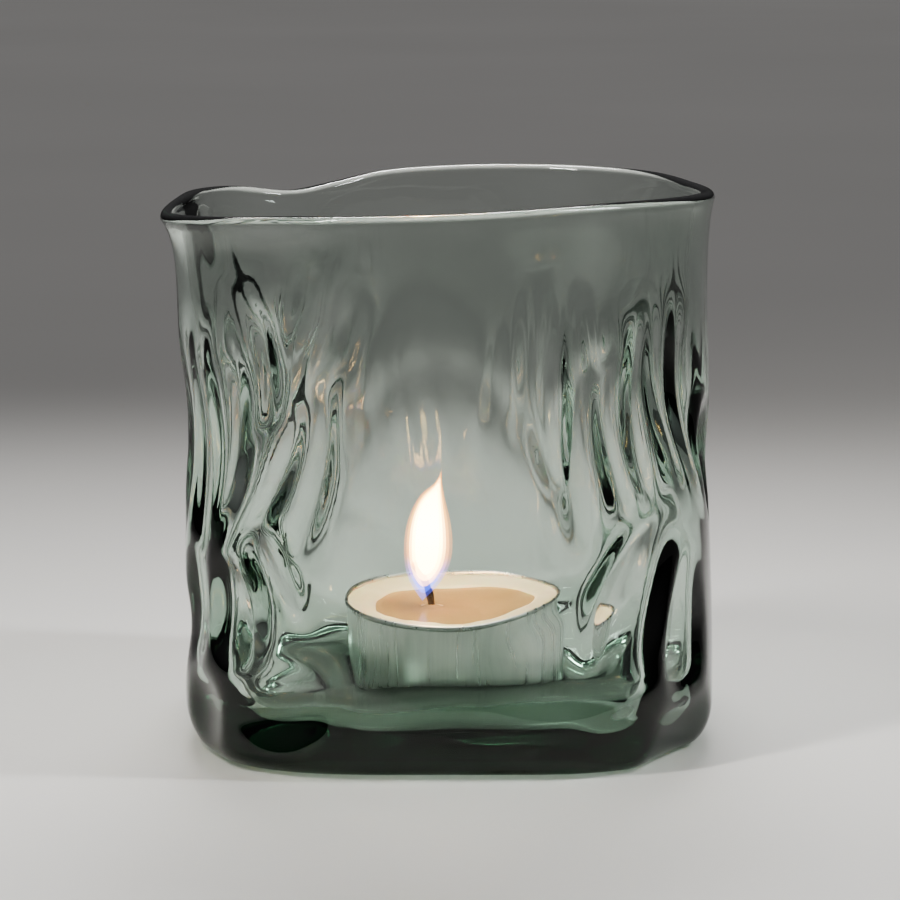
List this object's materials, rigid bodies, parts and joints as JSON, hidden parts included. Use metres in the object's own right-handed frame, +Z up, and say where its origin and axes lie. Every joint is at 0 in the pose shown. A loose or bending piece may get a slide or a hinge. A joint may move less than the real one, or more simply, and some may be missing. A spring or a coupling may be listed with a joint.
{
  "type": "tealight holder",
  "caption": "Crumpled smoky glass tumbler with a wavy fire-polished rim and a heavy square foot, holding a tealight in an aluminium cup that lifts out.",
  "frame": {"origin": "on the surface the holder stands on, under the middle of the glass's bounding box", "axes": "+Z up; -Y is the front, which shows the large smooth dimple; +X is to the right seen from the front"},
  "size_m": [0.0874, 0.0856, 0.0876],
  "materials": {
    "smoky_glass": "clear grey-green glass, fire-polished",
    "aluminium": "thin drawn aluminium, satin",
    "paraffin_wax": "cream paraffin wax, slightly translucent",
    "tinplate": "thin stamped tinplate",
    "charred_cotton": "braided cotton, charred at the tip"
  },
  "bodies": {
    "holder": {"glass_holder": "smoky_glass"},
    "tealight": {"tealight_cup": "aluminium", "wax_fill": "paraffin_wax", "wick_sustainer": "tinplate", "wick": "charred_cotton"}
  },
  "joints": [
    {"name": "tealight_lift", "type": "slide", "parent": "holder", "child": "tealight", "axis": [0, 0, 1], "range_m": [0, 0.09]}
  ]
}
